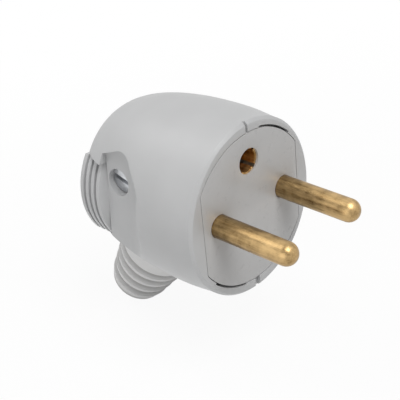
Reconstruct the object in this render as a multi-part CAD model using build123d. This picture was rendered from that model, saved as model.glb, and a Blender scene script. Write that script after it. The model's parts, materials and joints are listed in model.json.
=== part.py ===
"""A rewirable two-pin plug with an earth hole, whose cord leaves downwards and back through a ribbed sleeve.

Millimetres. The origin is the middle of the mating face, midway between the two pins.
The pins point along -Y, +Z runs up towards the earth hole and the hood reaches back along +Y.
"""

from build123d import *
from math import cos, radians, sin, sqrt, tan
import os

# The standard contact layout
pin_diameter = 4.8
pin_length = 19.0
pin_spacing = 19.0
earth_rise = 10.0
earth_entry_diameter = 5.5

# Running, seating and free clearances
fit_gap = 0.05
slide_gap = 0.15
room = 0.4

# The hood, a moulded cup with an oval front and a blunt domed back
hood_depth = 37.4
hood_drop = 0.5
hood_wall = 2.2
crown_room = 0.35
hood_oval = 0.45
belly_station = 10.6
rim_tuck_height = 0.2
rim_tuck_width = 1.0
dome_bow = 1.79
dome_fullness = 5.2
dome_flat_share = 0.985
rim_chamfer = 0.6
rear_round = 1.5
cavity_shares = (0.4, 0.65, 0.8, 0.93)
side_wall_half_gap = 11.3
ramp_start = 14.0
ramp_end = 18.5

# The finger pocket on each side
pocket_floor = 13.3
pocket_length = 8.5
pocket_slope = 40.0
pocket_blend = 6.0
pocket_lean = 4.8
pocket_shoulder = 6.5
pocket_peak = 12.3
pocket_peak_setback = 7.2
pocket_top_back = 9.5
pocket_corner = 5.0

# The grip ribs behind each pocket
rib_count = 4
rib_width = 0.9
groove_width = 0.7
rib_crest_radius = 15.3
groove_depth = 1.0
rib_rake = 0.9
rib_top = 7.2
rib_bottom = 10.4
rib_root = 8.0
rear_land = 3.1

# The slots in the rim
top_notch_width = 0.6
bottom_notch_width = 1.4
notch_depth = 0.9
relief_width = 0.35
relief_depth = 3.0
relief_start = 44.0
relief_sweep = 34.0

# The pin carrier
face_diameter = 32.9
face_drop = 0.35
face_across_flats = 27.8
face_thickness = 4.0
core_depth = 13.0
bar_half_width = 12.9
bar_top = 5.2
bar_bottom = 1.4
earth_boss_diameter = 11.2
post_x = 8.4
post_z = 8.4
post_diameter = 5.4

# The pins
shank_diameter = 5.2
shoulder_length = 0.8
head_diameter = 6.8
wire_hole_diameter = 3.2
wire_hole_depth = 7.0

# The earth socket
socket_bore_diameter = pin_diameter + 2 * fit_gap
socket_wall = 0.8
socket_start = 0.6
socket_bore_end = 14.6
socket_end = 21.6
socket_slot_width = 0.7
socket_slot_length = 8.0
socket_slots = 4
socket_collar_diameter = 9.2
socket_collar_thickness = 1.5
earth_wire_depth = 5.5
spring_wall = 0.45
spring_width = 1.6
spring_station = 4.4
spring_split = 1.2

# The terminal screws and their leaves
terminal_screw_diameter = 3.0
terminal_head_diameter = 4.8
terminal_head_height = 1.7
terminal_station = 9.2
earth_terminal_station = 18.6
slot_share = 0.18
slot_depth_share = 0.5
screw_tip_share = 0.12
leaf_width = 1.7
leaf_thickness = 0.35
leaf_length = 5.2
leaf_drop = 0.75

# The cradle that closes the carrier and reaches back
plate_thickness = 2.0
tail_half_width = 7.4
tail_bottom = -0.6
tail_low_top = 5.9
tail_high_top = 7.4
tail_step = socket_end + room
tail_reach = 4.0
pad_half_width = 10.2
pad_bottom = -3.4
pad_end = 20.2
cradle_screw_diameter = 2.5
cradle_screw_length = 9.0
cradle_head_diameter = 4.2
cradle_head_height = 1.6

# The cord clamp
cord_diameter = 6.8
cord_axis_z = -6.2
clamp_station = 17.8
clamp_width = 4.2
clamp_half_span = 9.8
clamp_arm = 2.0
clamp_arch_wall = 1.6
clamp_ridge = 0.4
clamp_ridge_width = 0.6
clamp_screw_x = 7.2
clamp_screw_diameter = 3.0
clamp_head_diameter = 5.0
clamp_head_height = 1.8

# The housing screw, its nut and its boss
housing_screw_setback = 3.3
housing_screw_z = 3.6
housing_slot_turn = 14.5
housing_screw_diameter = 3.0
housing_head_diameter = 5.4
housing_head_height = 2.2
housing_hole_diameter = 5.8
housing_screw_length = 15.0
housing_seat = 9.6
boss_diameter = 8.2
nut_across_flats = 5.5
nut_thickness = 2.4
nut_start = 1.5

# The cable sleeve, measured along its own axis from the point where that axis leaves the hood
sleeve_tilt = 35.5
sleeve_exit_station = 26.7
sleeve_exit_z = -16.15
sleeve_root_diameter = 18.2
sleeve_tip_diameter = 12.4
sleeve_bore_diameter = 8.0
sleeve_reach = 19.9
sleeve_sunk = 3.0
sleeve_neck_diameter = 12.4
sleeve_tuck = 6.0
sleeve_flange_diameter = 15.6
sleeve_flange_thickness = 1.5
sleeve_grooves = 4
sleeve_pitch = 3.43
sleeve_first_groove = 5.2
sleeve_groove_mouth = 1.9
sleeve_groove_floor = 0.8
sleeve_groove_depth = 0.9
sleeve_tip_round = 1.2
outlet_boss_diameter = 17.6

pin_x = pin_spacing / 2
pin_radius = pin_diameter / 2
core_top = earth_rise + earth_boss_diameter / 2
belly_half_width = core_top + crown_room + hood_drop + hood_wall
belly_half_height = belly_half_width + hood_oval
rim_half_width = belly_half_width - rim_tuck_width
rim_half_height = belly_half_height - rim_tuck_height
stack_length = rib_rake + rib_count * rib_width + (rib_count - 1) * groove_width
pocket_back = hood_depth - rear_land - stack_length
pocket_floor_start = pocket_back - pocket_length
housing_screw_station = pocket_back - housing_screw_setback
tail_end = housing_screw_station + tail_reach
cradle_start = core_depth
cradle_back = core_depth + plate_thickness
lower = (Align.CENTER, Align.CENTER, Align.MIN)


def frame_at(origin, direction):
    """A working plane at a point, whose Z runs along a direction."""
    return Plane(origin=origin, z_dir=direction)


def rod(origin, direction, diameter, start, end):
    """A round bar along a direction, between two distances from its origin."""
    place = frame_at(origin, direction)
    return place * Pos(0, 0, start) * Cylinder(diameter / 2, end - start, align=lower)


def block(low, high):
    """A box between two opposite corners."""
    size = [high[i] - low[i] for i in range(3)]
    middle = [(high[i] + low[i]) / 2 for i in range(3)]
    return Pos(*middle) * Box(*size)


def turned(outline, place):
    """A solid of revolution from a closed outline of radius and distance, about the plane's Z."""
    half = Plane(origin=place.origin, x_dir=place.x_dir, z_dir=place.y_dir * -1)
    return revolve(half * make_face(outline), Axis(place.origin, place.z_dir))


def screw(place, diameter, length, head_width, head_height):
    """A slotted cheese-head screw on its seat: its shank runs along the plane's Z and its slot along X."""
    r = diameter / 2
    tip = diameter * screw_tip_share
    head = head_width / 2
    points = [(0, -head_height), (head, -head_height), (head, 0), (r, 0)]
    points += [(r, length - tip), (r - tip, length), (0, length)]
    slot = Box(2 * head_width, slot_share * head_width, 2 * slot_depth_share * head_height)
    slot = place * Pos(0, 0, -head_height) * slot
    return turned(Polyline(*points, close=True), place) - slot


def hood_swell(station):
    """The hood's half width and half height at a distance from its mouth."""
    run = max(0.0, (station - belly_station) / (hood_depth - belly_station))
    dome = (1 - run**dome_bow) ** (1 / dome_fullness)
    mouth = max(0.0, 1 - station / belly_station) ** 2
    half_width = belly_half_width * dome - rim_tuck_width * mouth
    half_height = belly_half_height * dome - rim_tuck_height * mouth
    return half_width, half_height


def hood_body(grow):
    """The hood's outer form, lofted through ovals that close in towards the back."""
    end = belly_station + (hood_depth - belly_station) * dome_flat_share
    ovals = []
    for share in (0, 0.15, 0.3, 0.46, 0.6, 0.72, 0.82, 0.9, 0.96, 1.0):
        half_width, half_height = hood_swell(end * share)
        place = Plane(origin=(0, end * share, -hood_drop), x_dir=(0, 0, 1), z_dir=(0, 1, 0))
        ovals.append(place * Ellipse(half_height + grow, half_width + grow))
    return loft(ovals)


def hood_cavity(wall):
    """The round space inside the hood: straight behind the insert, then drawn in with the dome."""
    back = hood_depth - wall
    points = [(0, 0), (belly_half_width - wall, 0)]
    for share in cavity_shares:
        station = back * share
        points.append((hood_swell(station)[0] - wall, station))
    points += [(points[-1][0] - wall, back), (0, back)]
    return turned(Polyline(*points, close=True), frame_at((0, 0, -hood_drop), (0, 1, 0)))


def leaning(shape):
    """Leans a shape about the middle of the pocket's floor, outwards at the bottom."""
    return Pos(pocket_floor, 0, 0) * Rot(0, -pocket_lean, 0) * Pos(-pocket_floor, 0, 0) * shape


def side_pocket(side):
    """What the finger pocket takes off one side: a leaning floor that ramps up forwards, under an arch."""
    far = 2 * rim_half_width
    ramp = (far - pocket_floor) / tan(radians(pocket_slope))
    outline = FilletPolyline(
        (far, pocket_floor_start - ramp),
        (pocket_floor, pocket_floor_start),
        (pocket_floor, pocket_back),
        radius=(pocket_blend,),
    )
    closing = Polyline((pocket_floor, pocket_back), (far, pocket_back), (far, pocket_floor_start - ramp))
    half = extrude(make_face(outline + closing), 2 * belly_half_height)
    cut = leaning(Pos(0, 0, -belly_half_height) * half)
    front = pocket_floor_start - (rim_half_width - pocket_floor) / tan(radians(pocket_slope))
    arch = FilletPolyline(
        (front, -hood_depth),
        (front, pocket_shoulder),
        (pocket_back - pocket_peak_setback, pocket_peak),
        (pocket_back, pocket_top_back),
        radius=pocket_corner,
    )
    rest = Polyline((pocket_back, pocket_top_back), (pocket_back, -hood_depth), (front, -hood_depth))
    cut &= extrude(Plane.YZ * make_face(arch + rest), 2 * far)
    return cut if side > 0 else mirror(cut, Plane.YZ)


def rib_stack():
    """The comb of ribs, turned about the hood's axis."""
    points = [(0, pocket_back), (pocket_floor, pocket_back)]
    station = pocket_back + rib_rake
    for index in range(rib_count):
        points.append((rib_crest_radius, station))
        station += rib_width
        points.append((rib_crest_radius, station))
        if index < rib_count - 1:
            points.append((rib_crest_radius - groove_depth, station))
            station += groove_width
            points.append((rib_crest_radius - groove_depth, station))
    points.append((0, station))
    return turned(Polyline(*points, close=True), frame_at((0, 0, -hood_drop), (0, 1, 0)))


def grip(side):
    """The zone behind one pocket that the ribs fill, and the ribs in it."""
    far_corner = (2 * rim_half_width, pocket_back + stack_length, rib_top)
    zone = block((rib_root, pocket_back, -rib_bottom), far_corner)
    ribs = leaning(rib_stack() & zone)
    zone = leaning(zone)
    return (zone, ribs) if side > 0 else (mirror(zone, Plane.YZ), mirror(ribs, Plane.YZ))


def sleeve_frame():
    """The sleeve's own plane: its Z runs out along the cord."""
    tilt = radians(sleeve_tilt)
    origin = (0, sleeve_exit_station, sleeve_exit_z)
    return Plane(origin=origin, x_dir=(1, 0, 0), z_dir=(0, sin(tilt), -cos(tilt)))


def make_hood():
    outer = hood_body(0)
    outer = chamfer(outer.faces().sort_by(Axis.Y)[0].edges(), rim_chamfer)
    outer = fillet(outer.faces().sort_by(Axis.Y)[-1].edges(), rear_round)
    for side in (-1, 1):
        zone, ribs = grip(side)
        outer = outer - zone + ribs - side_pocket(side)

    outline = [
        (face_across_flats / 2 + slide_gap, -1),
        (face_across_flats / 2 + slide_gap, ramp_start),
        (side_wall_half_gap, ramp_end),
        (side_wall_half_gap, hood_depth),
    ]
    outline += [(-x, y) for x, y in reversed(outline)]
    plan = extrude(make_face(Polyline(*outline, close=True)), 2 * belly_half_height)
    plan = Pos(0, 0, -belly_half_height) * plan
    mouth = rod((0, 0, -face_drop), (0, 1, 0), face_diameter + 2 * slide_gap, -1, face_thickness)
    hood = outer - ((hood_cavity(hood_wall) + mouth) & plan)

    boss_start = tail_half_width + slide_gap
    for side in (-1, 1):
        centre = (0, housing_screw_station, housing_screw_z)
        hood += rod(centre, (side, 0, 0), boss_diameter, boss_start, side_wall_half_gap + hood_wall / 2)
    head_hole = rod(centre, (-1, 0, 0), housing_hole_diameter, housing_seat, 2 * belly_half_width)
    shank_hole = rod(centre, (-1, 0, 0), housing_screw_diameter + 2 * slide_gap, 0, housing_seat + 1)
    hood -= head_hole
    hood -= shank_hole

    sleeve = sleeve_frame()
    outlet = Cylinder(outlet_boss_diameter / 2, 2 * sleeve_tuck, align=lower)
    outlet = sleeve * Pos(0, 0, -sleeve_tuck) * outlet
    hood += outlet & hood_cavity(hood_wall / 2)
    hood -= sleeve * Cylinder(sleeve_neck_diameter / 2 + slide_gap, 4 * sleeve_tuck)

    for side, width in ((-1, bottom_notch_width), (1, top_notch_width)):
        groove = Box(width, 2 * notch_depth, 2 * hood_wall + 2)
        hood -= Pos(0, 0, -hood_drop + side * rim_half_height) * groove
        start = relief_start if side > 0 else relief_start + 180
        across = face_diameter + 2 * slide_gap + 2 * relief_width
        ring = rod((0, 0, -face_drop), (0, 1, 0), across, -1, relief_depth)
        wedge = relief_wedge(start)
        hood -= ring & wedge
    return hood


def relief_wedge(start):
    """The sector, from the hood's axis, that one relief in the rim takes up."""
    reach = 2 * face_diameter
    points = [(0, 0)]
    for angle in (start, start + relief_sweep / 2, start + relief_sweep):
        points.append((reach * cos(radians(angle)), reach * sin(radians(angle))))
    place = Plane(origin=(0, relief_depth, -hood_drop), x_dir=(1, 0, 0), z_dir=(0, -1, 0))
    return extrude(place * make_face(Polyline(*points, close=True)), relief_depth + 1)


def core_outline(grow):
    """The outline that the carrier's core and the cradle's plate share, looking at the face."""
    bar = Pos(0, (bar_top - bar_bottom) / 2) * Rectangle(2 * bar_half_width, bar_top + bar_bottom)
    earth = Pos(0, earth_rise) * Circle(earth_boss_diameter / 2)
    posts = [Pos(side * post_x, post_z) * Circle(post_diameter / 2) for side in (-1, 1)]
    hull = make_hull((bar + earth + posts[0] + posts[1]).edges())
    return offset(hull, grow) if grow else hull


def on_face(station):
    """The plane across the plug at a distance behind the mating face, seen from the front."""
    return Plane(origin=(0, station, 0), x_dir=(1, 0, 0), z_dir=(0, -1, 0))


def make_pin_carrier():
    face = rod((0, 0, -face_drop), (0, 1, 0), face_diameter, 0, face_thickness)
    half = face_across_flats / 2
    carrier = face & block((-half, -1, -face_diameter), (half, face_thickness + 1, face_diameter))
    carrier += extrude(on_face(core_depth) * core_outline(0), core_depth - face_thickness)
    head_room = head_diameter + 2 * fit_gap
    for side in (-1, 1):
        centre = (side * pin_x, 0, 0)
        carrier -= rod(centre, (0, 1, 0), pin_diameter + 2 * fit_gap, -1, shoulder_length)
        carrier -= pin_shank(centre, fit_gap)
        carrier -= rod(centre, (0, 1, 0), head_room, face_thickness, core_depth + 1)
        low = (side * pin_x - head_room / 2, face_thickness, -bar_top)
        carrier -= block(low, (side * pin_x + head_room / 2, core_depth + 1, 0))
        post = (side * post_x, 0, post_z)
        pilot = core_depth - cradle_screw_length + plate_thickness - room
        carrier -= rod(post, (0, 1, 0), cradle_screw_diameter + 2 * fit_gap, pilot, core_depth + 1)
    earth = (0, 0, earth_rise)
    carrier -= rod(earth, (0, 1, 0), earth_entry_diameter, -1, core_depth)
    petals = socket_bore_diameter + 2 * socket_wall
    spring = petals + 2 * spring_wall + 2 * room
    spring_end = socket_start + socket_slot_length
    carrier -= rod(earth, (0, 1, 0), petals + 2 * room, socket_start - fit_gap, spring_end)
    carrier -= rod(earth, (0, 1, 0), spring, spring_station - room, spring_end)
    carrier -= rod(earth, (0, 1, 0), petals + 2 * fit_gap, spring_end - 1, core_depth + 1)
    collar = socket_collar_diameter + 2 * slide_gap
    carrier -= rod(earth, (0, 1, 0), collar, core_depth - socket_collar_thickness, core_depth + 1)
    return carrier


def pin_shank(centre, grow):
    """The coned shoulder and the shank behind the mating face, or the hole for them."""
    narrow = pin_radius + grow
    wide = shank_diameter / 2 + grow
    points = [(0, 0), (narrow, 0), (wide, shoulder_length), (wide, face_thickness), (0, face_thickness)]
    return turned(Polyline(*points, close=True), frame_at(centre, (0, 1, 0)))


def make_pin(side):
    """A turned pin with a rounded end, a shank in the face and a drilled terminal head."""
    r = pin_radius
    tip = CenterArc((0, -pin_length + r), r, -90, 90)
    tip = make_face(tip + Polyline((r, -pin_length + r), (0, -pin_length + r), (0, -pin_length)))
    tip = revolve(tip, Axis.Y)
    centre = (0, 0, 0)
    pin = tip + rod(centre, (0, 1, 0), pin_diameter, -pin_length + r, 0)
    pin += pin_shank(centre, 0)
    pin += rod(centre, (0, 1, 0), head_diameter, face_thickness, core_depth)
    pin -= rod(centre, (0, 1, 0), wire_hole_diameter, core_depth - wire_hole_depth, core_depth + 1)
    station = (0, terminal_station, 0)
    pin -= rod(station, (0, 0, -1), terminal_screw_diameter + 2 * fit_gap, 0, head_diameter)
    return Pos(side * pin_x, 0, 0) * pin


def make_terminal_screw(terminal, outwards, half_height):
    """A terminal screw that presses on the leaf inside a drilled terminal."""
    rise = half_height + room
    length = rise - leaf_drop - leaf_thickness
    seat = [terminal[i] + outwards[i] * rise for i in range(3)]
    place = frame_at(seat, [-part for part in outwards])
    return screw(place, terminal_screw_diameter, length, terminal_head_diameter, terminal_head_height)


def make_leaf(mouth, outwards):
    """The bent leaf that keeps the screw off the strands, its lip outside the wire hole."""
    half = leaf_width / 2
    lip_start = fit_gap
    lip_end = fit_gap + leaf_thickness
    lip_rise = wire_hole_diameter / 2 + half
    strip = block((-half, leaf_drop, -leaf_length), (half, leaf_drop + leaf_thickness, lip_end))
    lip = block((-half, leaf_drop, lip_start), (half, lip_rise, lip_end))
    place = Plane(origin=mouth, x_dir=Vector(*outwards).cross(Vector(0, 1, 0)), z_dir=(0, 1, 0))
    return place * (strip + lip)


def make_earth_socket():
    """A turned socket, sawn into petals at its mouth and drilled for the wire at its back."""
    outer = socket_bore_diameter / 2 + socket_wall
    earth = (0, 0, earth_rise)
    socket = rod(earth, (0, 1, 0), 2 * outer, socket_start, socket_end)
    collar_start = core_depth - socket_collar_thickness
    socket += rod(earth, (0, 1, 0), socket_collar_diameter, collar_start, core_depth)
    socket -= rod(earth, (0, 1, 0), socket_bore_diameter, socket_start - 1, socket_bore_end)
    for index in range(socket_slots // 2):
        saw = Box(socket_slot_width, 2 * socket_slot_length, 4 * outer)
        place = Pos(0, socket_start, earth_rise) * Rot(0, 45 + 90 * index, 0)
        socket -= place * saw
    socket -= rod(earth, (0, 1, 0), wire_hole_diameter, socket_end - earth_wire_depth, socket_end + 1)
    station = (0, earth_terminal_station, earth_rise)
    socket -= rod(station, (1, 0, 0), terminal_screw_diameter + 2 * fit_gap, 0, 2 * outer)
    return socket


def make_earth_spring():
    """The split ring that squeezes the petals."""
    inner = socket_bore_diameter + 2 * socket_wall + 2 * fit_gap
    earth = (0, 0, earth_rise)
    end = spring_station + spring_width
    ring = rod(earth, (0, 1, 0), inner + 2 * spring_wall, spring_station, end)
    ring -= rod(earth, (0, 1, 0), inner, spring_station - 1, end + 1)
    split = block(
        (-spring_split / 2, spring_station - 1, earth_rise),
        (spring_split / 2, end + 1, earth_rise + inner),
    )
    return ring - split


def make_rear_cradle():
    """The second moulding: a plate over the terminals, with a tail for the clamp and the housing screw."""
    cradle = extrude(on_face(cradle_back) * core_outline(0), plate_thickness)
    lip = block((-bar_half_width, cradle_start, pad_bottom), (bar_half_width, cradle_back, 0))
    cradle += lip
    half = tail_half_width
    cradle += block((-half, cradle_start, tail_bottom), (half, tail_end, tail_low_top))
    cradle += block((-half, tail_step, tail_bottom), (half, tail_end, tail_high_top))
    pad = block((-pad_half_width, cradle_start, pad_bottom), (pad_half_width, pad_end, tail_bottom))
    cradle += pad
    for side in (-1, 1):
        wire = (side * pin_x, 0, 0)
        cradle -= rod(wire, (0, 1, 0), wire_hole_diameter + 2 * room, cradle_start - 1, cradle_back + 1)
        lip_room = block(
            (side * pin_x - leaf_width, cradle_start - 1, -head_diameter / 2),
            (side * pin_x + leaf_width, cradle_start + 2 * leaf_thickness, 0),
        )
        cradle -= lip_room
        post = (side * post_x, 0, post_z)
        across = cradle_screw_diameter + 2 * slide_gap
        cradle -= rod(post, (0, 1, 0), across, cradle_start - 1, cradle_back + 1)
        hole = (side * clamp_screw_x, clamp_station, 0)
        across = clamp_screw_diameter + 2 * fit_gap
        cradle -= rod(hole, (0, 0, -1), across, room - tail_bottom, 1 - pad_bottom)
    earth = (0, 0, earth_rise)
    tube = socket_bore_diameter + 2 * socket_wall + 2 * slide_gap
    cradle -= rod(earth, (0, 1, 0), tube, cradle_start - 1, cradle_back + 1)
    cord = (0, 0, cord_axis_z)
    cradle -= rod(cord, (0, 1, 0), cord_diameter, cradle_start - 1, pad_end + 1)

    centre = (0, housing_screw_station, housing_screw_z)
    cradle -= rod(centre, (1, 0, 0), housing_screw_diameter + 2 * slide_gap, -2 * half, 2 * half)
    nut_half = nut_across_flats / 2 + fit_gap
    corner = nut_across_flats / sqrt(3) + slide_gap
    cradle -= block(
        (nut_start - fit_gap, housing_screw_station - nut_half, housing_screw_z - corner),
        (nut_start + nut_thickness + fit_gap, housing_screw_station + nut_half, tail_high_top + 1),
    )
    return cradle


def make_cord_clamp():
    """The saddle that pulls the cord up against the cradle's pad."""
    near = clamp_station - clamp_width / 2
    far = clamp_station + clamp_width / 2
    cord = (0, 0, cord_axis_z)
    arch = rod(cord, (0, 1, 0), cord_diameter + 2 * clamp_arch_wall, near, far)
    arms = block((-clamp_half_span, near, cord_axis_z - clamp_arm), (clamp_half_span, far, cord_axis_z))
    below = block((-clamp_half_span, near, cord_axis_z - cord_diameter), (clamp_half_span, far, cord_axis_z))
    clamp = (arch & below) + arms
    clamp -= rod(cord, (0, 1, 0), cord_diameter, near - 1, far + 1)
    for start in (near + clamp_ridge_width, far - 2 * clamp_ridge_width):
        ridge = rod(cord, (0, 1, 0), cord_diameter + 2 * fit_gap, start, start + clamp_ridge_width)
        ridge -= rod(cord, (0, 1, 0), cord_diameter - 2 * clamp_ridge, near - 1, far + 1)
        clamp += ridge & below
    for side in (-1, 1):
        hole = (side * clamp_screw_x, clamp_station, 0)
        clamp -= rod(hole, (0, 0, -1), clamp_screw_diameter + 2 * slide_gap, 0, 2 * cord_diameter)
    return clamp


def make_clamp_screw(side):
    place = frame_at((side * clamp_screw_x, clamp_station, cord_axis_z - clamp_arm), (0, 0, 1))
    length = tail_bottom - room - place.origin.Z - room
    return screw(place, clamp_screw_diameter, length, clamp_head_diameter, clamp_head_height)


def make_cradle_screw(side):
    place = frame_at((side * post_x, cradle_back, post_z), (0, -1, 0))
    return screw(place, cradle_screw_diameter, cradle_screw_length, cradle_head_diameter, cradle_head_height)


def make_housing_screw():
    turn = radians(housing_slot_turn)
    seat = (-housing_seat, housing_screw_station, housing_screw_z)
    place = Plane(origin=seat, x_dir=(0, -cos(turn), -sin(turn)), z_dir=(1, 0, 0))
    size = (housing_screw_diameter, housing_screw_length, housing_head_diameter, housing_head_height)
    return screw(place, *size)


def make_housing_nut():
    centre = (nut_start, housing_screw_station, housing_screw_z)
    place = Plane(origin=centre, x_dir=(0, 0, 1), z_dir=(1, 0, 0))
    nut = extrude(place * RegularPolygon(nut_across_flats / sqrt(3), 6), nut_thickness)
    return nut - rod(centre, (1, 0, 0), housing_screw_diameter + 2 * fit_gap, -1, nut_thickness + 1)


def make_cable_sleeve():
    """The soft sleeve: a flange and neck held in the hood, and a grooved cone that seats on its outside."""
    root = sleeve_root_diameter / 2
    tip = sleeve_tip_diameter / 2
    slope = (tip - root) / sleeve_reach
    points = [(root - slope * sleeve_sunk, -sleeve_sunk)]
    for index in range(sleeve_grooves):
        middle = sleeve_first_groove + index * sleeve_pitch
        surface = root + slope * middle
        floor = surface - sleeve_groove_depth
        points.append((surface, middle - sleeve_groove_mouth / 2))
        points.append((floor, middle - sleeve_groove_floor / 2))
        points.append((floor, middle + sleeve_groove_floor / 2))
        points.append((surface, middle + sleeve_groove_mouth / 2))
    for angle in (0, 30, 60, 90):
        radius = tip - sleeve_tip_round * (1 - cos(radians(angle)))
        points.append((radius, sleeve_reach - sleeve_tip_round * (1 - sin(radians(angle)))))
    points += [(0, sleeve_reach), (0, -sleeve_sunk)]
    place = sleeve_frame()
    body = turned(Polyline(*points, close=True), place) - hood_body(slide_gap)
    neck = place * Pos(0, 0, -sleeve_tuck)
    body += neck * Cylinder(sleeve_neck_diameter / 2, sleeve_tuck + sleeve_reach / 2, align=lower)
    flange = place * Pos(0, 0, -sleeve_tuck - sleeve_flange_thickness)
    body += flange * Cylinder(sleeve_flange_diameter / 2, sleeve_flange_thickness, align=lower)
    return body - place * Cylinder(sleeve_bore_diameter / 2, 4 * sleeve_reach)


nodes = {
    "hood": make_hood(),
    "pin_carrier": make_pin_carrier(),
    "live_pin": make_pin(1),
    "neutral_pin": make_pin(-1),
    "earth_socket": make_earth_socket(),
    "earth_spring": make_earth_spring(),
    "rear_cradle": make_rear_cradle(),
    "cord_clamp": make_cord_clamp(),
    "housing_screw": make_housing_screw(),
    "housing_nut": make_housing_nut(),
    "cable_sleeve": make_cable_sleeve(),
}
head_radius = head_diameter / 2
socket_radius = socket_bore_diameter / 2 + socket_wall
for name, side in (("live", 1), ("neutral", -1)):
    terminal = (side * pin_x, terminal_station, 0)
    nodes[name + "_terminal_screw"] = make_terminal_screw(terminal, (0, 0, -1), head_radius)
    nodes[name + "_terminal_leaf"] = make_leaf((side * pin_x, core_depth, 0), (0, 0, -1))
terminal = (0, earth_terminal_station, earth_rise)
nodes["earth_terminal_screw"] = make_terminal_screw(terminal, (1, 0, 0), socket_radius)
nodes["earth_terminal_leaf"] = make_leaf((0, socket_end, earth_rise), (1, 0, 0))
for name, side in (("left", -1), ("right", 1)):
    nodes["cradle_screw_" + name] = make_cradle_screw(side)
    nodes["clamp_screw_" + name] = make_clamp_screw(side)

os.makedirs("parts", exist_ok=True)
for name, solid in nodes.items():
    export_step(solid, "parts/" + name + ".step")
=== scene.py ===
"""The dressed plug: camera, soft light, finishes and the pieces that are finer here than in the solids.

Metres, in the plug's own frame: the pins point along -Y, +Z runs up to the earth hole and +Y back
into the hood. Sizes inside the finishes are in millimetres.
"""

import json
import math

import bpy
from mathutils import Matrix, Vector


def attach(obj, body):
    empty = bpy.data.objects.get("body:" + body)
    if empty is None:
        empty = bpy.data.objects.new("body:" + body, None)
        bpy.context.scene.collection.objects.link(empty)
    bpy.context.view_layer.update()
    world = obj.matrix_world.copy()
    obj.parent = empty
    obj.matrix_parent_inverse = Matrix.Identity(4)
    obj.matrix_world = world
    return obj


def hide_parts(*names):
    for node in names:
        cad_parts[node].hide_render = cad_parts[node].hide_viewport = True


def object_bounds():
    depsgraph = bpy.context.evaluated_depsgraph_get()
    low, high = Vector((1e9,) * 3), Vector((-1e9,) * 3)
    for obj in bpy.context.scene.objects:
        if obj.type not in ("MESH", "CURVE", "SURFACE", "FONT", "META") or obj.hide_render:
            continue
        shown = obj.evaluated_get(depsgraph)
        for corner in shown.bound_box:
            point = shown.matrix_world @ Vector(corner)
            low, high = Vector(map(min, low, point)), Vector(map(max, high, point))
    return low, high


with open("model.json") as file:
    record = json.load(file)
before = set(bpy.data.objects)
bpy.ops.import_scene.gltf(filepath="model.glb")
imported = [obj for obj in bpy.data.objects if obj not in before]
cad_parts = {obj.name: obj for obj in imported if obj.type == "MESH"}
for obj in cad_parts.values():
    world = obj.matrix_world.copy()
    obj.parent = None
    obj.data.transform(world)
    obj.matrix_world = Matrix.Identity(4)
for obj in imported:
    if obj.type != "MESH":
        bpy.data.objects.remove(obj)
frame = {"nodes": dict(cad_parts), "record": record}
cad_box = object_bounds()

MM = 0.001

# The sleeve's sizes in millimetres, which the painted shade in its grooves follows
SLEEVE_TILT = math.radians(35.5)
SLEEVE_EXIT_Y = 26.7
SLEEVE_EXIT_Z = -16.15
SLEEVE_FIRST_GROOVE = 5.2
SLEEVE_GROOVE_PITCH = 3.43

# How a copied solid is merged and rounded
MERGE_DISTANCE = 0.002 * MM
SHARP_ANGLE = math.radians(30.0)
ROUND_SEGMENTS = 3

# A Noise node's values lie on both sides of this one
NOISE_MIDDLE = 0.5

# The sockets of a Mix node that mixes colours
MIX_SHARE = 0
MIX_LOW = 6
MIX_HIGH = 7
MIX_RESULT = 2


# Camera

def place_camera():
    """The photograph's camera: its direction, roll, distance and the shift in its own plane."""
    azimuth = math.radians(-43.73)
    elevation = math.radians(29.82)
    roll = math.radians(-5.82)
    distance = 0.2223
    across = -0.01035
    up = 0.00115
    focal_pixels = 1122.37
    photo_width = 400
    sensor_width = 36.0
    back = Vector((
        math.sin(azimuth) * math.cos(elevation),
        -math.cos(azimuth) * math.cos(elevation),
        math.sin(elevation),
    ))
    level = Vector((0, 0, 1)).cross(back).normalized()
    upright = back.cross(level)
    right = level * math.cos(roll) + upright * math.sin(roll)
    top = upright * math.cos(roll) - level * math.sin(roll)
    place = back * distance + right * across + top * up
    turn = Matrix((right, top, back)).transposed().to_4x4()
    lens = bpy.data.cameras.new("photograph_camera")
    lens.sensor_width = sensor_width
    lens.lens = sensor_width * focal_pixels / photo_width
    lens.clip_start = 0.01
    lens.clip_end = 10.0
    camera = bpy.data.objects.new("photograph_camera", lens)
    bpy.context.scene.collection.objects.link(camera)
    camera.matrix_world = Matrix.Translation(place) @ turn
    bpy.context.scene.camera = camera


# Finishes

class Value:
    """A shader value: used in an expression, it adds the Math nodes that the expression needs."""

    def __init__(self, nodes, socket):
        self.nodes = nodes
        self.socket = socket

    def maths(self, operation, first, second):
        return self.nodes.add("ShaderNodeMath", {"operation": operation}, {0: first, 1: second})

    def __add__(self, other):
        return self.maths("ADD", self, other)

    def __radd__(self, other):
        return self.maths("ADD", other, self)

    def __sub__(self, other):
        return self.maths("SUBTRACT", self, other)

    def __rsub__(self, other):
        return self.maths("SUBTRACT", other, self)

    def __mul__(self, other):
        return self.maths("MULTIPLY", self, other)

    def __rmul__(self, other):
        return self.maths("MULTIPLY", other, self)

    def __pow__(self, other):
        return self.maths("POWER", self, other)

    def __rpow__(self, other):
        return self.maths("POWER", other, self)

    def off_nearest(self, pitch):
        """How far the value is from the nearest whole number of pitches."""
        return self.maths("PINGPONG", self, pitch / 2)


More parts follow.
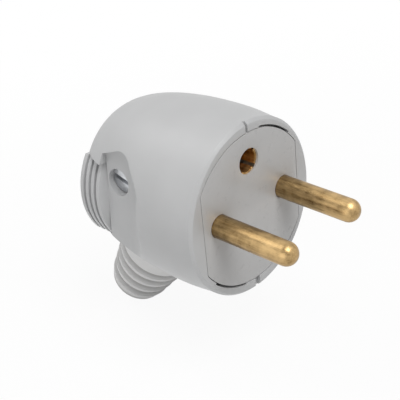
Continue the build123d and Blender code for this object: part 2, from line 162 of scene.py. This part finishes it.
class Nodes:
    """The nodes of the world or of one material."""

    def __init__(self, owner):
        owner.use_nodes = True
        self.tree = owner.node_tree

    def add(self, kind, settings=None, inputs=None, output=0):
        """Adds a node, its settings first and then its inputs, and gives one of its outputs."""
        made = self.tree.nodes.new(kind)
        for key, setting in (settings or {}).items():
            setattr(made, key, setting)
        for key, value in (inputs or {}).items():
            self.feed(made.inputs[key], value)
        return Value(self, made.outputs[output])

    def feed(self, socket, value):
        """Links a shader value to a socket, or sets the socket to a number or colour."""
        if isinstance(value, Value):
            self.tree.links.new(value.socket, socket)
        else:
            socket.default_value = value

    def background_ray(self):
        """1 for what is seen, straight, in metal or through glass, and 0 for what lights the plug."""
        straight = self.add("ShaderNodeLightPath", output="Is Camera Ray")
        mirrored = self.add("ShaderNodeLightPath", output="Is Glossy Ray")
        through = self.add("ShaderNodeLightPath", output="Is Transmission Ray")
        return straight + mirrored + through


class Finish(Nodes):
    """A material built from nodes round one Principled shader."""

    def __init__(self, name):
        self.material = bpy.data.materials.new(name)
        super().__init__(self.material)
        self.shader = self.tree.nodes["Principled BSDF"]

    def place(self, scale=(1, 1, 1)):
        """The object's own coordinates in millimetres, stretched by a scale."""
        object_place = self.add("ShaderNodeTexCoord", output="Object")
        stretch = tuple(s / MM for s in scale)
        return self.add("ShaderNodeMapping", {}, {"Vector": object_place, "Scale": stretch})

    def along(self, axis):
        """How far along one of the plug's axes a point lies, in millimetres."""
        return self.add("ShaderNodeSeparateXYZ", {}, {"Vector": self.place()}, axis)

    def noise(self, scale, detail=3.0, rough=0.5, stretch=(1, 1, 1)):
        """Noise whose scale counts its cells per millimetre."""
        inputs = {"Vector": self.place(stretch), "Scale": scale, "Detail": detail, "Roughness": rough}
        return self.add("ShaderNodeTexNoise", {}, inputs, "Fac")

    def ramp(self, value, start, end):
        """A smooth step from 0 at the start to 1 at the end."""
        smooth = {"interpolation_type": "SMOOTHSTEP"}
        inputs = {"Value": value, "From Min": start, "From Max": end}
        return self.add("ShaderNodeMapRange", smooth, inputs)

    def blend(self, share, low, high):
        """A colour between two colours."""
        colours = {"data_type": "RGBA", "blend_type": "MIX"}
        inputs = {MIX_SHARE: share, MIX_LOW: low, MIX_HIGH: high}
        return self.add("ShaderNodeMix", colours, inputs, MIX_RESULT)

    def relief(self, height, depth):
        """A bump of a real depth in millimetres."""
        return self.add("ShaderNodeBump", {}, {"Height": height, "Distance": depth * MM}, "Normal")

    def set(self, **inputs):
        """Feeds the shader's own sockets and gives the material."""
        for name, value in inputs.items():
            self.feed(self.shader.inputs[name.replace("_", " ")], value)
        return self.material


def varied(*layers, middle):
    """A value about its middle: each layer is a noise and how strongly the value follows it."""
    value = middle
    for noise, strength in layers:
        value = value + (noise - NOISE_MIDDLE) * strength
    return value


def grey(level, warmth=0.0):
    return (level * (1 + warmth), level, level * (1 - warmth), 1.0)


def moulded_plastic(name, light, dark, roughness, pore_depth):
    """Satin moulded plastic: a faint cloud in its colour and a fine spark-eroded grain."""
    finish = Finish(name)
    cloud = finish.noise(scale=0.12, detail=2.0)
    flow = finish.noise(scale=0.6, detail=4.0, stretch=(1, 0.3, 1))
    pores = finish.noise(scale=9.0, rough=0.6)
    lightness = varied((cloud, 1.4), (flow, 0.5), middle=0.5)
    return finish.set(
        Base_Color=finish.blend(lightness, dark, light),
        Roughness=varied((flow, 0.16), (pores, 0.12), middle=roughness),
        Normal=finish.relief(pores, depth=pore_depth),
    )


def soft_rubber(name, light, dark, groove_shade_colour):
    """The sleeve's soft plastic: duller, dusty, with painted shade in its grooves and round its tip."""
    finish = Finish(name)
    bloom = finish.noise(scale=0.35, detail=4.0, rough=0.6)
    pores = finish.noise(scale=7.0, detail=4.0, rough=0.65)
    back = finish.along("Y") - SLEEVE_EXIT_Y
    up = finish.along("Z") - SLEEVE_EXIT_Z
    outward = back * math.sin(SLEEVE_TILT) - up * math.cos(SLEEVE_TILT)
    off_groove = (outward - SLEEVE_FIRST_GROOVE).off_nearest(SLEEVE_GROOVE_PITCH)
    shade_edge = 0.85
    shade_heart = 0.25
    unshaded_root = 3.2
    root_fade = 1.0
    # Painted shade: the grooves, and a ring near the tip, are darkened towards the shade colour
    groove_shade = finish.ramp(off_groove, shade_edge, shade_heart)
    groove_shade = groove_shade * finish.ramp(outward, unshaded_root, unshaded_root + root_fade)
    groove_shade = groove_shade * varied((bloom, 0.6), middle=0.85)
    unshaded_colour = finish.blend(varied((bloom, 1.6), middle=0.5), dark, light)
    return finish.set(
        Base_Color=finish.blend(groove_shade, unshaded_colour, groove_shade_colour),
        Roughness=varied((bloom, 0.3), middle=0.46),
        Normal=finish.relief(pores, depth=0.012),
    )


def drawn_brass(name, light, dark, streaked=(1, 0.05, 1), worn_from=None, deep_from=None):
    """Brass with lines along its length and a brown bloom.

    It is lighter where it is rubbed, from worn_from to the tip, and darkened by painted shade down a
    hole, from deep_from.
    """
    finish = Finish(name)
    lines = finish.noise(scale=4.0, detail=5.0, rough=0.75, stretch=streaked)
    bands = finish.noise(scale=0.9, detail=2.0, stretch=streaked)
    tarnish = finish.noise(scale=0.5, detail=4.0, rough=0.65)
    lightness = varied((lines, 1.3), (bands, 1.3), (tarnish, 1.5), middle=0.5)
    roughness = varied((lines, 0.3), (tarnish, 0.35), middle=0.34)
    if worn_from is not None:
        worn_fade = 1.5
        worn_lightness = 0.2
        worn_roughness = 0.03
        ragged = varied((tarnish, 1.5), middle=finish.along("Y"))
        worn = finish.ramp(ragged, worn_from, worn_from - worn_fade)
        lightness = lightness + worn * worn_lightness
        roughness = roughness + worn * worn_roughness
    # Painted shade: the brass darkens further down the hole, past deep_from
    if deep_from is not None:
        deep_fade = 4.0
        lightness = lightness - finish.ramp(finish.along("Y"), deep_from, deep_from + deep_fade)
    return finish.set(
        Base_Color=finish.blend(lightness, dark, light),
        Metallic=1.0,
        Roughness=roughness,
        Normal=finish.relief(lines, depth=0.01),
    )


def zinc_plate(name, light, dark):
    """Bright zinc on steel, faintly mottled, with turning lines too fine to see singly."""
    finish = Finish(name)
    spangle = finish.noise(scale=1.6)
    scratches = finish.noise(scale=8.0, stretch=(1, 1, 0.15))
    return finish.set(
        Base_Color=finish.blend(varied((spangle, 1.5), middle=0.5), dark, light),
        Metallic=1.0,
        Roughness=varied((spangle, 0.16), (scratches, 0.08), middle=0.32),
        Normal=finish.relief(scratches, depth=0.005),
    )


# Pieces

def dress(piece, material):
    piece.data.materials.clear()
    piece.data.materials.append(material)


def pick(piece):
    """Selects one piece alone, for the operators."""
    bpy.ops.object.select_all(action="DESELECT")
    piece.select_set(True)
    bpy.context.view_layer.objects.active = piece


def softened(node, material, edge=0.0):
    """A merged copy of a solid, shaded smooth and shown in its place, its sharp edges rounded by edge."""
    source = frame["nodes"][node]
    piece = bpy.data.objects.new("soft_" + node, source.data.copy())
    bpy.context.scene.collection.objects.link(piece)
    pick(piece)
    bpy.ops.object.mode_set(mode="EDIT")
    bpy.ops.mesh.select_all(action="SELECT")
    bpy.ops.mesh.remove_doubles(threshold=MERGE_DISTANCE)
    bpy.ops.object.mode_set(mode="OBJECT")
    if edge:
        bevel = piece.modifiers.new("edge", "BEVEL")
        bevel.width = edge
        bevel.segments = ROUND_SEGMENTS
        bevel.limit_method = "ANGLE"
        bevel.angle_limit = SHARP_ANGLE
        bpy.ops.object.modifier_apply(modifier="edge")
    bpy.ops.object.shade_smooth_by_angle(angle=SHARP_ANGLE)
    dress(piece, material)
    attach(piece, "root")
    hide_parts(node)


# Stage and light

def white_floor():
    """A plain pale floor under the plug, white to the camera but for a trace of the plug's shadow."""
    lowest = cad_box[0]
    bpy.ops.mesh.primitive_plane_add(size=8.0, location=(0, 0, lowest.z))
    floor = bpy.context.object
    floor.name = "floor"
    finish = Finish("pale_floor")
    finish.set(Base_Color=grey(0.85), Roughness=0.9)
    away = (finish.along("X") ** 2 + finish.along("Y") ** 2) ** 0.5
    near_whiteness = 0.93
    white_from = 200.0
    shadow_to = 40.0
    whiteness = near_whiteness + finish.ramp(away, shadow_to, white_from) * (1 - near_whiteness)
    lit = Value(finish, finish.shader.outputs["BSDF"])
    glow = finish.add("ShaderNodeEmission", {}, {"Color": grey(1.0), "Strength": 1.0})
    share = finish.background_ray() * whiteness
    mixed = finish.add("ShaderNodeMixShader", {}, {0: share, 1: lit, 2: glow})
    finish.feed(finish.tree.nodes["Material Output"].inputs["Surface"], mixed)
    dress(floor, finish.material)


def softbox(name, place, aim, size, power):
    """A square area lamp that faces a point."""
    lamp = bpy.data.lights.new(name, "AREA")
    lamp.shape = "SQUARE"
    lamp.size = size
    lamp.energy = power
    holder = bpy.data.objects.new(name, lamp)
    bpy.context.scene.collection.objects.link(holder)
    holder.location = place
    direction = Vector(aim) - Vector(place)
    holder.rotation_euler = direction.to_track_quat("-Z", "Y").to_euler()


def studio():
    """White all round to the camera, an even sky for the plug, and soft boxes above, left and behind."""
    world = bpy.data.worlds.new("studio")
    bpy.context.scene.world = world
    sky = Nodes(world)
    sky_on_plug = 0.29
    levels = {"Value": sky.background_ray(), "To Min": sky_on_plug, "To Max": 1.0}
    background = sky.tree.nodes["Background"]
    sky.feed(background.inputs["Color"], grey(1.0))
    sky.feed(background.inputs["Strength"], sky.add("ShaderNodeMapRange", {}, levels))
    softbox("overhead_box", place=(-0.05, -0.22, 0.46), aim=(0, 0, 0), size=0.26, power=1.74)
    softbox("left_box", place=(-0.5, 0.0, 0.03), aim=(0, 0.01, 0), size=0.45, power=0.64)
    softbox("back_box", place=(-0.09, 0.3, 0.35), aim=(0, 0.01, 0), size=0.22, power=0.42)


bpy.context.scene.view_settings.view_transform = "Standard"
place_camera()
studio()
white_floor()

hood_grey = moulded_plastic(
    "satin_grey_hood",
    light=grey(0.505, -0.006), dark=grey(0.47, -0.006), roughness=0.42, pore_depth=0.006,
)
carrier_grey = moulded_plastic(
    "smooth_grey_carrier",
    light=grey(0.47, 0.006), dark=grey(0.445, 0.006), roughness=0.3, pore_depth=0.0009,
)
# The sleeve's third, darkest colour is painted shade for its grooves
sleeve_grey = soft_rubber(
    "soft_grey_sleeve",
    light=grey(0.7, 0.006), dark=grey(0.63, 0.006), groove_shade_colour=grey(0.38, 0.02),
)
pin_brass = drawn_brass(
    "drawn_brass",
    light=(0.58, 0.4, 0.19, 1), dark=(0.18, 0.11, 0.043, 1), worn_from=-11.0,
)
# Its brass is darkened by painted shade down the earth hole
socket_brass = drawn_brass(
    "socket_brass",
    light=(1.0, 0.7, 0.32, 1), dark=(0.36, 0.19, 0.06, 1), deep_from=4.5,
)
strip_brass = drawn_brass(
    "rolled_brass",
    light=(0.66, 0.48, 0.22, 1), dark=(0.4, 0.27, 0.1, 1), streaked=(1, 1, 0.1),
)
zinc = zinc_plate("bright_zinc", light=(0.7, 0.715, 0.735, 1), dark=(0.52, 0.53, 0.55, 1))
finishes = {
    "hood": hood_grey,
    "carrier": carrier_grey,
    "sleeve": sleeve_grey,
    "brass": pin_brass,
    "leaf_brass": strip_brass,
    "zinc_steel": zinc,
}
for part in frame["record"]["subparts"]:
    dress(frame["nodes"][part["node"]], finishes[part["material_slot"]])

softened("hood", hood_grey, edge=0.18 * MM)
softened("pin_carrier", carrier_grey, edge=0.15 * MM)
softened("cable_sleeve", sleeve_grey, edge=0.15 * MM)
softened("housing_screw", zinc, edge=0.1 * MM)
softened("earth_socket", socket_brass, edge=0.06 * MM)
for pin in ("live_pin", "neutral_pin"):
    softened(pin, pin_brass)
